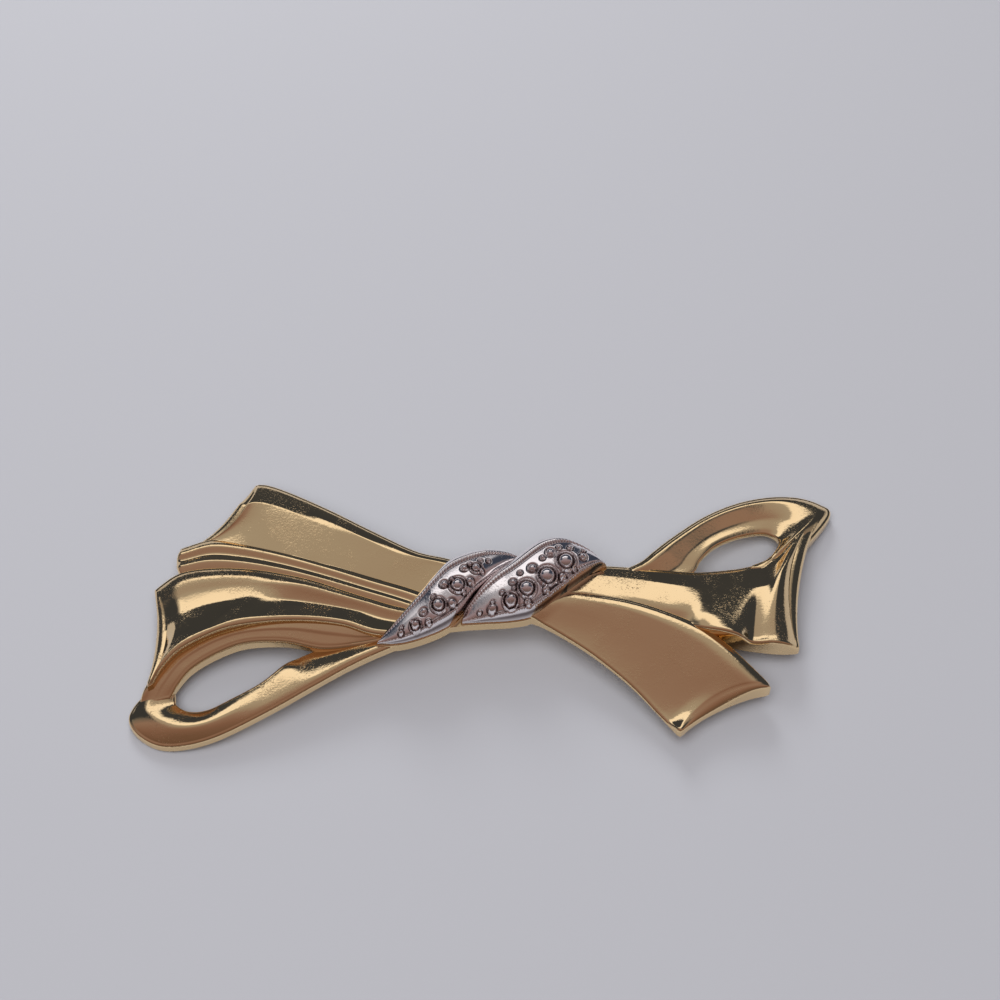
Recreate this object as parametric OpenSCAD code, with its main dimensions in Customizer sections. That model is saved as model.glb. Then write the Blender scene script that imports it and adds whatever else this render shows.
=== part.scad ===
// Ribbon bow brooch: one hollow-backed gold casting, two white-metal knot leaves
// with raised rings and beads, and a plain pin fitting behind.

/* [Left loop and tail] */
// Reach of the left loop from the middle of the bow
left_loop_reach = 28.7; // [26:0.1:32]
// How far the left loop hangs below the middle
left_loop_drop = 12; // [10:0.1:14]
// Highest relief of the left loop over its underside
left_loop_h = 2.28; // [1.8:0.1:3]
// Reach of the left tail from the middle of the bow
left_tail_reach = 25.2; // [22:0.1:28]
// How far the left tail rises above the middle
left_tail_rise = 12; // [10:0.1:14]
// Highest relief of the left tail over its underside
left_tail_h = 1.82; // [1.4:0.02:2.6]
// Height of the two pressed pleats over their underside
pleat_h = 1.62; // [1.2:0.02:2.4]

/* [Right loop and tail] */
// Reach of the right loop from the middle of the bow
right_loop_reach = 28.7; // [26:0.1:32]
// How far the right loop rises above the middle
right_loop_rise = 10.9; // [9:0.1:13]
// Highest relief of the right loop over its underside
right_loop_h = 2; // [1.6:0.02:3]
// Reach of the right tail from the middle of the bow
right_tail_reach = 22.3; // [20:0.1:26]
// How far the right tail hangs below the middle
right_tail_drop = 11.4; // [9:0.1:13]
// Highest relief of the right tail over its underside
right_tail_h = 1.9; // [1.4:0.1:2.8]

/* [Casting] */
// Height of the arched underside over the table at the middle
arch_h = 3; // [2.4:0.1:4]
// Half length at which the arch comes down to the table
arch_reach = 35; // [32:0.5:44]
// Half width at which the arch comes down to the table
arch_width = 20; // [18:0.5:30]
// Outward swell of the rounded rim
rim_out = 0.26; // [0.1:0.02:0.4]
// Depth of the rounded rim
rim_down = 0.32; // [0.1:0.02:0.44]
// Outward swell of the rounded wall in the middle of a ribbon's open end
end_out = 0.9; // [0.4:0.1:1.2]
// Depth of the rounded wall in the middle of a ribbon's open end
end_down = 0.7; // [0.4:0.1:0.8]
// Thickness of metal left over the hollow back
wall = 0.88; // [0.6:0.02:1.2]
// Width of solid rim round the hollow back
rim_w = 1; // [0.6:0.1:1.4]

/* [Knot] */
// Reach of the knot to either side of the middle
knot_reach = 9.5; // [8:0.1:11]
// Rise of the knot above and below the middle
knot_rise = 4.2; // [3.6:0.1:5]
// Height of the gold seat at the edge of a leaf
seat_edge_h = 0.92; // [0.7:0.02:1.4]
// Extra height of the gold seat at the middle of a leaf
seat_crown_h = 1.48; // [1:0.1:2]
// Gold showing outside the edge of a leaf
seat_lip = 0.15; // [0.1:0.02:0.5]
// Thickness of a leaf at its middle
leaf_crown_t = 0.75; // [0.6:0.05:1.2]
// Clearance between a leaf and its seat
leaf_gap = 0.1; // [0.06:0.02:0.16]
// Radius of the largest ring on the leaves
ring_r = 0.85; // [0.6:0.05:1]
// Height of the rings and beads over the leaf
bead_h = 0.35; // [0.2:0.05:0.5]

/* [Pin fitting] */
// Distance of the hinge block and of the catch from the middle
pin_half = 15; // [12:0.5:17]
// Width of the hinge block and of the catch
block_w = 3.5; // [2:0.5:4]
// Height of the pin stem's middle over the table
stem_z = 1.2; // [0.8:0.1:1.6]
// Diameter of the pin stem
stem_d = 0.9; // [0.6:0.1:1.2]
// Length of the hinge block and of the catch along the pin
block_l = 3; // [2:0.5:4]
// Length of the stem that shows past the catch
stem_past = 1; // [0.5:0.5:3]
// Length of the stem's point
stem_point = 1.5; // [0.5:0.5:3]
// Diameter of the very tip of the stem
stem_tip_d = 0.2; // [0.1:0.05:0.4]
// Clearance between the fitting and the casting's posts
post_gap = 0.05; // [0.03:0.01:0.1]
// Diameter of the two posts that carry the fitting
post_d = 4; // [3:0.5:5]

/* [Hidden] */
gold = [0.86, 0.68, 0.42];
white_metal = [0.78, 0.78, 0.80];
steel_gold = [0.75, 0.60, 0.38];

// Middle of the finished outline, so that the bow is centred on the origin
mid_x = (right_loop_reach - left_loop_reach) / 2;
mid_y = (left_tail_rise - left_loop_drop) / 2;

// Shares across a ribbon, from its far edge to its near edge, where heights are given
ACROSS = [0, 10, 22, 36, 50, 64, 78, 90, 100];

// Each rails table has a row for each section, going out from the knot:
// far edge x, far edge y, near edge x, near edge y, inward bend of the section.
// x is a hundredth of the ribbon's reach, y and bend of its rise or drop.
// Each swell table has a row for each height section: share along the ribbon,
// then the height at each share of ACROSS, in hundredths of the ribbon's height.
LEFT_TAIL_RAILS = [
    [3, 17.5, 14.5, -6, 0],
    [12.5, 28, 25, 3.5, 0],
    [24.5, 35, 38.5, 14, 0],
    [39.5, 53, 54, 26, 0],
    [54, 72.5, 67.5, 36.5, 0],
    [67.5, 89.5, 81, 45, 3],
    [75, 97, 92, 50, 8],
    [79, 98, 99, 47, 14]];
LEFT_TAIL_SWELL = [
    [0, 25, 40, 48, 50, 48, 46, 44, 42, 40],
    [22, 28, 52, 74, 84, 80, 70, 62, 54, 48],
    [60, 30, 60, 88, 100, 97, 88, 78, 68, 60],
    [90, 30, 60, 88, 98, 92, 82, 72, 64, 58],
    [100, 30, 50, 72, 80, 74, 66, 60, 55, 50]];
PLEAT_RAILS = [
    [14.5, -6, 17.5, -20, 0],
    [25, 4, 28.5, -11, 0],
    [38.5, 14, 42, -1, 0],
    [54, 26.5, 58.5, 11, 0],
    [67.5, 37, 71, 18.5, 0],
    [81, 46, 83, 23.5, 0],
    [92, 50.5, 93.5, 25, 0],
    [102, 45, 101, 24, 0]];
PLEAT_SWELL = [
    [0, 40, 48, 50, 46, 42, 46, 48, 44, 40],
    [22, 52, 78, 84, 72, 60, 68, 76, 66, 52],
    [70, 60, 92, 100, 82, 66, 84, 94, 80, 60],
    [100, 50, 78, 84, 66, 55, 72, 80, 66, 50]];
LEFT_LOOP_RAILS = [
    [11.5, -18, 15.5, -27, 0],
    [26, -10, 31, -29.5, 0],
    [34, -4, 41.5, -22, 0],
    [42, 3, 53, -19, 0],
    [51, 11.5, 64.5, -20, 0],
    [61, 18.5, 74.5, -25, 0],
    [70, 23, 82, -32, 2],
    [79.5, 25, 88, -41, 4],
    [88.5, 23, 92, -52, 6],
    [96, 13.5, 95, -63, 9]];
LEFT_LOOP_SWELL = [
    [0, 34, 38, 40, 38, 36, 36, 37, 38, 40],
    [22, 50, 66, 70, 60, 54, 54, 60, 68, 76],
    [45, 60, 92, 95, 80, 68, 66, 74, 88, 100],
    [80, 55, 88, 92, 74, 62, 58, 64, 78, 92],
    [92, 55, 80, 84, 70, 60, 56, 60, 68, 80],
    [100, 60, 80, 86, 78, 70, 66, 64, 66, 70]];
LEFT_INNER_RAILS = [
    [21, -24, 24, -29, 0],
    [31, -27, 37, -34.5, 0],
    [41.5, -19.5, 47, -36, 0],
    [55, -17, 57.5, -31, 0],
    [69, -19.5, 68.5, -31, 0],
    [79, -25.5, 76.5, -37, 0],
    [89, -39.5, 84, -47.5, 0],
    [95.5, -61, 88, -58.5, 0],
    [97.5, -73, 90, -67, 0]];
LEFT_INNER_SWELL = [
    [0, 40, 40, 38, 36, 34, 32, 30, 28, 26],
    [62, 72, 72, 68, 62, 55, 48, 42, 38, 34],
    [88, 48, 58, 62, 62, 58, 52, 46, 40, 34],
    [100, 32, 40, 46, 48, 46, 42, 38, 32, 26]];
LEFT_BAND_RAILS = [
    [94, -61, 89.5, -59.5, 0],
    [99, -73.5, 89, -66, 0],
    [100, -82.5, 88.5, -72.5, 0],
    [97, -92.5, 86, -78, 0],
    [91, -100, 83, -80.5, 0],
    [83, -100, 79, -80, 0],
    [74, -94, 74, -75.5, 0],
    [61, -79, 63.5, -61, 0],
    [49.5, -63.5, 56, -46, 0],
    [41, -52, 48, -37, 0],
    [33, -42.5, 39, -32, 0],
    [22, -31, 24, -25, 0]];
LEFT_BAND_SWELL = [
    [0, 36, 44, 50, 50, 47, 42, 38, 33, 26],
    [12, 40, 50, 56, 60, 58, 54, 48, 41, 34],
    [22, 32, 42, 50, 56, 58, 56, 50, 42, 34],
    [54, 34, 46, 56, 62, 62, 56, 48, 40, 34],
    [84, 36, 48, 56, 62, 62, 58, 52, 44, 38],
    [100, 26, 30, 34, 38, 38, 36, 34, 30, 28]];
RIGHT_LOOP_RAILS = [
    [24.5, 26, 17, -0.5, 0],
    [33.5, 27, 26, 2, 0],
    [46, 25.5, 39.5, -6.5, 0],
    [58.5, 24, 51.5, -17, 0],
    [68, 27, 61, -27.5, 0],
    [76.5, 32, 70, -34, 0],
    [84, 40, 77, -36, -3],
    [91.5, 57, 82.5, -36.5, -8],
    [97.5, 86, 87, -35.5, -15]];
RIGHT_LOOP_SWELL = [
    [0, 25, 38, 44, 46, 44, 42, 40, 38, 36],
    [22, 28, 54, 76, 80, 74, 66, 60, 56, 52],
    [50, 32, 66, 90, 98, 90, 80, 72, 68, 66],
    [80, 60, 80, 88, 84, 74, 68, 66, 66, 64],
    [92, 84, 84, 80, 72, 66, 62, 60, 58, 56],
    [100, 88, 92, 90, 84, 78, 72, 66, 60, 52]];
RIGHT_BAND_RAILS = [
    [31.5, 14.5, 37.5, 8, 0],
    [43, 30, 50.5, 16.5, 0],
    [48, 41.5, 58, 28.5, 0],
    [53, 53.5, 60.5, 40, 0],
    [63, 75, 65.5, 54, 0],
    [73, 90, 72.5, 64, 0],
    [83, 98.5, 79.5, 69, 0],
    [91.5, 100, 83.5, 66.5, 0],
    [98, 94.5, 85.5, 59, 0],
    [100, 86.5, 84, 47, 0],
    [92, 56, 81, 38, 0],
    [83.5, 31, 76, 32, 0]];
RIGHT_BAND_SWELL = [
    [0, 22, 30, 38, 40, 38, 34, 30, 26, 22],
    [20, 30, 46, 60, 66, 62, 54, 46, 38, 32],
    [40, 34, 60, 78, 84, 78, 68, 56, 46, 38],
    [70, 34, 58, 74, 80, 74, 64, 54, 46, 38],
    [85, 50, 70, 76, 72, 64, 56, 48, 42, 38],
    [100, 70, 76, 74, 66, 58, 52, 46, 42, 38]];
RIGHT_TAIL_RAILS = [
    [20, 5, 9.5, -13.5, 0],
    [31.5, 0.5, 20, -20.5, 0],
    [50.5, -6, 34.5, -38, 0],
    [66.5, -16.5, 46, -55.5, 0],
    [78, -27.5, 54, -70, 0],
    [85.5, -39, 60, -83, -2],
    [93, -53.5, 64, -91.5, -5],
    [100, -67.5, 68, -100, -10]];
RIGHT_TAIL_SWELL = [
    [0, 36, 44, 46, 44, 42, 38, 34, 32, 30],
    [20, 56, 78, 80, 70, 60, 52, 46, 42, 38],
    [50, 64, 96, 96, 78, 62, 52, 46, 42, 42],
    [85, 60, 94, 92, 70, 55, 46, 40, 38, 42],
    [100, 56, 84, 80, 60, 48, 42, 40, 42, 44]];

// Knot leaves: far edge x, far edge y, near edge x, near edge y, in hundredths of
// the knot's reach and rise
LEFT_LEAF = [
    [-92.5, -99, -95, -108],
    [-78, -57, -71.5, -103],
    [-60.5, -6, -49.5, -86.5],
    [-38, 60, -34.5, -68],
    [-20, 83, -24, -43],
    [-1, 90, -12, -5],
    [15, 89, 2, 30],
    [26, 82, 16, 60]];
RIGHT_LEAF = [
    [-22, -52, -23, -64],
    [-16, -29, -4, -61.5],
    [-0.5, 16, 19, -58],
    [19.5, 57, 37, -47],
    [37, 94, 57, -11],
    [49, 111, 71.5, 18],
    [64, 117, 85.5, 46],
    [83, 101, 95.5, 66],
    [98, 76, 100, 70]];

// Shares across a leaf where its thickness is given, and the thickness there, in
// hundredths of its thickness at the middle: rolled rims and a sunk panel
LEAF_ACROSS = [0, 8, 16, 24, 50, 78, 90, 95, 100];
LEAF_RISE = [60, 95, 100, 66, 85, 74, 66, 96, 76];
// Beads: share along the leaf, share across it, radius in hundredths of the largest ring
LEFT_BEADS = [
    [52, 62, 84], [36, 72, 76], [21, 82, 60], [67, 55, 56], [64, 73, 38], [48, 84, 42],
    [27.5, 89, 36], [39, 47, 40], [26, 65, 38], [58, 38, 34], [13, 84, 28]];
RIGHT_BEADS = [
    [49, 70, 100], [38, 67, 92], [27.5, 75, 80], [64, 68, 96], [17.5, 80, 46], [45, 88, 40],
    [58, 86, 38], [35, 88, 38], [43, 40, 46], [34, 40, 46], [60, 33, 46], [74, 78, 38]];

rim_steps = 3;
along_steps = 2;
across_n = 9;
leaf_n = 11;
low_step = 0.05;
low_z = -1;
draft = 0.03;
facet_step = 0.01;
under_skirt = 0.6;
boss_step = 0.1;
back_x = 36;
back_y = 15;
back_cell = 3;
low_skin = -0.4;
room_h = 3;
room_end = 0.1;
room_side = 0.5;
room_floor = 0.3;
seam_row = 3;
core_share = 0.8;

function clamp_index(ks, t, i = 0) =
    i >= len(ks) - 2 || t < ks[i + 1] ? i : clamp_index(ks, t, i + 1);
function slope(ks, vs, i) =
    i == 0 ? (vs[1] - vs[0]) / (ks[1] - ks[0]) :
    i == len(ks) - 1 ? (vs[i] - vs[i - 1]) / (ks[i] - ks[i - 1]) :
    (vs[i + 1] - vs[i - 1]) / (ks[i + 1] - ks[i - 1]);
// Smooth curve through the values vs at the places ks
function smooth(ks, vs, t) =
    let (i = clamp_index(ks, t), w = ks[i + 1] - ks[i], s = (t - ks[i]) / w)
    vs[i] * (2 * s * s * s - 3 * s * s + 1) + slope(ks, vs, i) * w * (s * s * s - 2 * s * s + s)
    + vs[i + 1] * (3 * s * s - 2 * s * s * s) + slope(ks, vs, i + 1) * w * (s * s * s - s * s);
function tail_of(row) = [for (i = [1:len(row) - 1]) row[i]];
function counts(rows) = [for (i = [0:len(rows) - 1]) i];

// Height of the arched underside over the table
function arch(x, y) = arch_h * (1 - pow(x / arch_reach, 2) - pow(y / arch_width, 2));

// A ribbon: rails, swell, reach with its sign, rise, height, how far its end wall flares
function ribbon(rails, swell, reach, rise, height, flare) = [rails, swell, reach, rise, height, flare];
function side_of(r) = r[2] < 0 ? 1 : -1;

// Section of ribbon r at share u of its rows: far point, near point, bend vector
function section(r, u) =
    let (row = smooth(counts(r[0]), r[0], u * (len(r[0]) - 1)) / 100,
         far = [row[0] * r[2], row[1] * r[3]],
         near = [row[2] * r[2], row[3] * r[3]],
         d = near - far,
         side = [-d[1], d[0]] / norm(d))
    [far, near, side * row[4] * r[3]];
// Height of ribbon r over its underside at share u along and t across
function relief(r, u, t) =
    let (keys = [for (row = r[1]) row[0]],
         rows = [for (row = r[1]) tail_of(row)])
    smooth(ACROSS, smooth(keys, rows, u * 100), t * 100) * r[4] / 100;
// Place in plan of share t across a section, drawn in from both edges by inset
function place(s, t, inset) =
    let (d = s[1] - s[0], keep = max(0.05, 1 - 2 * inset / norm(d)), q = 0.5 + (t - 0.5) * keep)
    s[0] + d * q + s[2] * 4 * q * (1 - q);
function share_in(s, t, inset) =
    let (keep = max(0.05, 1 - 2 * inset / norm(s[1] - s[0]))) 0.5 + (t - 0.5) * keep;

// Outline of a grid of n by m points, as indices, going round once
function outline(n, m) = concat(
    [for (i = [0:n - 1]) i * m],
    [for (j = [1:m - 1]) (n - 1) * m + j],
    [for (i = [n - 2:-1:0]) i * m + m - 1],
    [for (j = [m - 2:-1:1]) j]);
function flip_if(faces, flip) = flip ? [for (f = faces) [f[2], f[1], f[0]]] : faces;
// Tiny step, up and down by turns, that keeps neighbouring facets from lying in one plane
function facet(i, j) = facet_step * (1 - 2 * ((i + j) % 2));
function unit(v) = v / max(0.0001, norm(v));
// Outward direction in plan at point k of the closed outline pts
function outward(pts, k, side) =
    let (n = len(pts), a = unit(pts[k] - pts[(k + n - 1) % n]), b = unit(pts[(k + 1) % n] - pts[k]),
         tangent = unit(a + b), stretch = min(1.4, 1 / max(0.3, sqrt((1 + a * b) / 2))))
    [tangent[1], -tangent[0]] * side * stretch;

// Closed solid between a top grid and an underside grid of n by m points, with a rounded
// wall round it; flare widens the wall in the middle of the last section
module sheet_solid(top, under, n, m, side, out, down, flare = 0) {
    rim = outline(n, m);
    k = len(rim);
    plan = [for (i = rim) [top[i][0], top[i][1]]];
    dirs = [for (i = [0:k - 1]) outward(plan, i, side)];
    open = [for (i = rim) i >= (n - 1) * m ? flare * sin(180 * (i % m) / (m - 1)) : 0];
    outs = [for (w = open) out + (end_out - out) * w];
    downs = [for (w = open) down + (end_down - down) * w];
    rings = [for (a = [1:rim_steps]) [for (i = [0:k - 1])
        let (z = top[rim[i]][2], turn = 90 * a / rim_steps, q = plan[i] + dirs[i] * outs[i] * sin(turn))
        [q[0], q[1], max(under[rim[i]][2] + low_step, z - downs[i] * (1 - cos(turn)))]]];
    foot = [for (i = [0:k - 1]) let (q = plan[i] + dirs[i] * (outs[i] + draft * (1 + i % 2)))
        [q[0], q[1], under[rim[i]][2]]];
    points = concat(top, [for (ring = rings) for (p = ring) p], foot);
    base = n * m;
    cells = [for (i = [0:n - 2]) for (j = [0:m - 2])
        [i * m + j, (i + 1) * m + j, (i + 1) * m + j + 1, i * m + j + 1]];
    lid = [for (c = cells) for (f = [[c[0], c[1], c[2]], [c[0], c[2], c[3]]]) f];
    bands = concat([rim], [for (a = [0:rim_steps]) [for (i = [0:k - 1]) base + a * k + i]]);
    skirt = [for (a = [0:len(bands) - 2]) for (i = [0:k - 1])
        let (j = (i + 1) % k, p = bands[a], q = bands[a + 1])
        for (f = [[p[i], q[i], q[j]], [p[i], q[j], p[j]]]) f];
    last = bands[len(bands) - 1];
    far = [for (i = [0:n - 1]) last[i]];
    near = [for (i = [0:n - 1]) last[(n - 1) + (m - 1) + (n - 1 - i)]];
    end = [for (j = [0:m - 1]) last[n - 1 + j]];
    start = [for (j = [0:m - 1]) last[(2 * (n - 1) + 2 * (m - 1) - j) % k]];
    middle = [for (i = [1:n - 3])
        for (f = [[far[i + 1], far[i], near[i]], [far[i + 1], near[i], near[i + 1]]]) f];
    end_fan = [for (j = [0:m - 2]) [end[j + 1], end[j], near[n - 2]]];
    start_fan = [for (j = [0:m - 2]) [start[j], start[j + 1], near[1]]];
    tips = [[far[n - 1], far[n - 2], near[n - 2]], [far[1], far[0], near[1]]];
    polyhedron(points, flip_if(concat(lid, skirt, middle, end_fan, start_fan, tips), side > 0));
}

// One ribbon of the casting
module ribbon_solid(r) {
    n = (len(r[0]) - 1) * along_steps + 1;
    m = across_n;
    grid = [for (i = [0:n - 1]) let (u = i / (n - 1), s = section(r, u))
        for (j = [0:m - 1]) let (t = j / (m - 1), p = place(s, t, 0), z = arch(p[0], p[1]))
        [p[0], p[1], z, relief(r, u, t) + facet(i, j)]];
    top = [for (g = grid) [g[0], g[1], g[2] + g[3]]];
    under = [for (g = grid) [g[0], g[1], low_z]];
    sheet_solid(top, under, n, m, side_of(r), rim_out, rim_down, r[5]);
}

// The space under ribbon r between shares u0 and u1 of its length
module hollow_solid(r, u0, u1) {
    n = len(r[0]) + 2;
    m = 7;
    grid = [for (i = [0:n - 1]) let (u = u0 + (u1 - u0) * i / (n - 1), s = section(r, u))
        for (j = [0:m - 1]) let (t = j / (m - 1), p = place(s, t, rim_w), q = share_in(s, t, rim_w),
            z = arch(p[0], p[1]))
        [p[0], p[1], z, max(low_skin, relief(r, u, q) - wall) + facet(i, j)]];
    top = [for (g = grid) [g[0], g[1], g[2] + g[3]]];
    under = [for (g = grid) [g[0], g[1], g[2] - under_skirt]];
    sheet_solid(top, under, n, m, side_of(r), 0.02, 0.02);
}

// Height of the flat foot of the posts that carry the pin fitting
post_z = arch(pin_half + post_d / 2, 0) - boss_step;

left_tail = ribbon(LEFT_TAIL_RAILS, LEFT_TAIL_SWELL, -left_tail_reach, left_tail_rise, left_tail_h, 1);
pleat = ribbon(PLEAT_RAILS, PLEAT_SWELL, -left_tail_reach, left_tail_rise, pleat_h, 0.5);
left_loop = ribbon(LEFT_LOOP_RAILS, LEFT_LOOP_SWELL, -left_loop_reach, left_loop_drop, left_loop_h, 1);
left_inner = ribbon(LEFT_INNER_RAILS, LEFT_INNER_SWELL, -left_loop_reach, left_loop_drop, left_loop_h, 0);
left_band = ribbon(LEFT_BAND_RAILS, LEFT_BAND_SWELL, -left_loop_reach, left_loop_drop, left_loop_h, 0);
right_loop = ribbon(RIGHT_LOOP_RAILS, RIGHT_LOOP_SWELL, right_loop_reach, right_loop_rise, right_loop_h, 1);
right_band = ribbon(RIGHT_BAND_RAILS, RIGHT_BAND_SWELL, right_loop_reach, right_loop_rise, right_loop_h, 0);
right_tail = ribbon(RIGHT_TAIL_RAILS, RIGHT_TAIL_SWELL, right_tail_reach, right_tail_drop, right_tail_h, 1);

// Far and near points of a knot leaf at share u of its rows
function leaf_section(rows, u) =
    let (row = smooth(counts(rows), rows, u * (len(rows) - 1)) / 100)
    [[row[0] * knot_reach, row[1] * knot_rise], [row[2] * knot_reach, row[3] * knot_rise], [0, 0]];
// Height of the underside below the middle of a leaf section
function leaf_base(s) = let (c = (s[0] + s[1]) / 2) arch(c[0], c[1]);
// Height of the gold seat over the underside at share t across leaf section s
function seat(s, t) = seat_edge_h + seat_crown_h * min(1, norm(s[1] - s[0]) / knot_rise) * 4 * t * (1 - t);
// Thickness of a leaf at share t across it
function leaf_t(t) = smooth(LEAF_ACROSS, LEAF_RISE, t * 100) * leaf_crown_t / 100;
// Place on top of a leaf at shares u along and t across
function leaf_place(rows, u, t) =
    let (s = leaf_section(rows, u), p = place(s, t, 0))
    [p[0], p[1], leaf_base(s) + seat(s, t) + leaf_gap + leaf_t(t)];

// Gold seat under a leaf, with a rounded gold wall round it
module leaf_seat(rows) {
    n = 2 * len(rows) - 1;
    m = leaf_n;
    grid = [for (i = [0:n - 1]) let (s = leaf_section(rows, i / (n - 1)))
        for (j = [0:m - 1]) let (t = j / (m - 1), p = place(s, t, 0)) [p[0], p[1], leaf_base(s), seat(s, t) + facet(i, j)]];
    top = [for (g = grid) [g[0], g[1], g[2] + g[3]]];
    under = [for (g = grid) [g[0], g[1], low_z]];
    sheet_solid(top, under, n, m, -1, seat_lip, seat_lip);
}
// Gold core of the knot that joins the two seats under the seam between the leaves
module knot_core() {
    for (i = [0:len(RIGHT_LEAF) - seam_row - 3]) hull() {
        core_post(LEFT_LEAF, i + seam_row);
        core_post(LEFT_LEAF, i + seam_row + 1);
        core_post(RIGHT_LEAF, i);
        core_post(RIGHT_LEAF, i + 1);
    }
}
// Short post of the core in the middle of a leaf at row i
module core_post(rows, i) {
    s = leaf_section(rows, i / (len(rows) - 1));
    c = (s[0] + s[1]) / 2;
    translate([c[0], c[1], leaf_base(s) + low_step]) cylinder(r = seat_lip, h = seat_edge_h * core_share, $fn = 6);
}

// Space over a leaf's seat that the leaf drops into, with the clearance round it
module leaf_room(rows) {
    steps = 2 * (len(rows) - 1);
    m = leaf_n;
    shares = concat([-room_end], [for (i = [0:steps]) i], [steps + room_end]);
    side = leaf_gap * room_side;
    grid = [for (share = shares) let (s = leaf_section(rows, share / steps))
        for (j = [0:m - 1]) let (t = j / (m - 1), p = place(s, t, -side), q = max(0, min(1, share_in(s, t, -side))),
            z = leaf_base(s) + seat(s, q) + leaf_gap * room_floor)
        [p[0], p[1], z + facet(j, 0)]];
    top = [for (i = [0:len(shares) - 1]) let (s = leaf_section(rows, shares[i] / steps))
        for (j = [0:m - 1]) let (p = place(s, j / (m - 1), -side - draft * (1 + i % 2))) [p[0], p[1], grid[i * m + j][2] + room_h]];
    leaf_solid(top, grid, len(shares), m);
}

// Block under the casting whose top is the arched underside
module back_block() {
    n = 2 * back_x / back_cell + 1;
    m = 2 * back_y / back_cell + 1;
    top = [for (i = [0:n - 1]) for (j = [0:m - 1])
        let (x = i * back_cell - back_x, y = back_y - j * back_cell) [x, y, arch(x, y) + facet(i, j)]];
    under = [for (p = top) [p[0], p[1], 3 * low_z]];
    leaf_solid(top, under, n, m);
}
// The two posts inside the hollow back, and their feet, which stand out below it
module post(x) {
    translate([x, 0, 0]) hull() {
        cylinder(d = post_d, h = low_step, $fn = 12);
        translate([0, 0, 2 * arch_h]) rotate([0, 0, 15]) cylinder(d = post_d, h = low_step, $fn = 12);
    }
}
module post_boss(x) {
    translate([x, 0, post_z]) hull() {
        cylinder(d = post_d - boss_step, h = low_step, $fn = 12);
        translate([0, 0, arch_h - post_z]) rotate([0, 0, 15]) cylinder(d = post_d - boss_step, h = low_step, $fn = 12);
    }
}

module gold_bow() color(gold) translate([-mid_x, -mid_y, 0]) {
    difference() {
        union() {
            ribbon_solid(left_tail);
            ribbon_solid(pleat);
            ribbon_solid(left_loop);
            ribbon_solid(left_inner);
            ribbon_solid(left_band);
            ribbon_solid(right_loop);
            ribbon_solid(right_band);
            ribbon_solid(right_tail);
            leaf_seat(LEFT_LEAF);
            leaf_seat(RIGHT_LEAF);
            knot_core();
        }
        back_block();
        difference() {
            union() {
                hollow_solid(left_tail, 0.25, 0.88);
                hollow_solid(left_loop, 0.2, 0.86);
                hollow_solid(right_loop, 0.2, 0.86);
                hollow_solid(right_tail, 0.2, 0.86);
            }
            post(-pin_half);
            post(pin_half);
        }
        leaf_room(LEFT_LEAF);
        leaf_room(RIGHT_LEAF);
    }
    post_boss(-pin_half);
    post_boss(pin_half);
}

// White-metal leaf with a rolled rim and raised rings and beads
module knot_leaf(rows, beads) color(white_metal) translate([-mid_x, -mid_y, 0]) union() {
    n = 2 * len(rows) - 1;
    m = leaf_n;
    grid = [for (i = [0:n - 1]) let (s = leaf_section(rows, i / (n - 1)))
        for (j = [0:m - 1]) let (t = j / (m - 1), p = place(s, t, 0), z = leaf_base(s) + seat(s, t) + leaf_gap)
        [p[0], p[1], z, leaf_t(t)]];
    top = [for (g = grid) [g[0], g[1], g[2] + g[3]]];
    under = [for (g = grid) [g[0], g[1], g[2]]];
    leaf_solid(top, under, n, m);
    for (b = beads) bead(leaf_place(rows, b[0] / 100, b[1] / 100), b[2] * ring_r / 100);
}
// One raised bead of radius r with a flat-topped dome
module bead(p, r) {
    translate([p[0], p[1], p[2] - bead_h / 2]) hull() {
        cylinder(r = r, h = bead_h * 0.9, $fn = 10);
        cylinder(r = r * 0.55, h = bead_h * 1.5, $fn = 10);
    }
}
// Closed solid between a top grid and an underside grid with upright edges
module leaf_solid(top, under, n, m) {
    rim = outline(n, m);
    k = len(rim);
    cells = [for (i = [0:n - 2]) for (j = [0:m - 2])
        [i * m + j, (i + 1) * m + j, (i + 1) * m + j + 1, i * m + j + 1]];
    lid = [for (c = cells) for (f = [[c[0], c[1], c[2]], [c[0], c[2], c[3]]]) f];
    floor = [for (f = lid) [f[2] + n * m, f[1] + n * m, f[0] + n * m]];
    skirt = [for (i = [0:k - 1]) let (j = (i + 1) % k, p = rim[i], q = rim[j])
        for (f = [[p, p + n * m, q + n * m], [p, q + n * m, q]]) f];
    polyhedron(concat(top, under), concat(lid, floor, skirt));
}
module knot_leaf_left() knot_leaf(LEFT_LEAF, LEFT_BEADS);
module knot_leaf_right() knot_leaf(RIGHT_LEAF, RIGHT_BEADS);

// Pin fitting behind the bow: hinge block, stem with a point, and catch block
module pin_back() color(steel_gold) translate([-mid_x, -mid_y, 0]) {
    for (x = [-pin_half, pin_half])
        translate([x - block_l / 2, -block_w / 2, 0]) cube([block_l, block_w, post_z - post_gap]);
    translate([-pin_half, 0, stem_z]) rotate([0, 90, 0])
        cylinder(d = stem_d, h = 2 * pin_half + block_l / 2 + stem_past);
    translate([pin_half + block_l / 2 + stem_past, 0, stem_z]) rotate([0, 90, 0])
        cylinder(d1 = stem_d, d2 = stem_tip_d, h = stem_point);
}

gold_bow();
knot_leaf_left();
knot_leaf_right();
pin_back();
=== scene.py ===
import math

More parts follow.
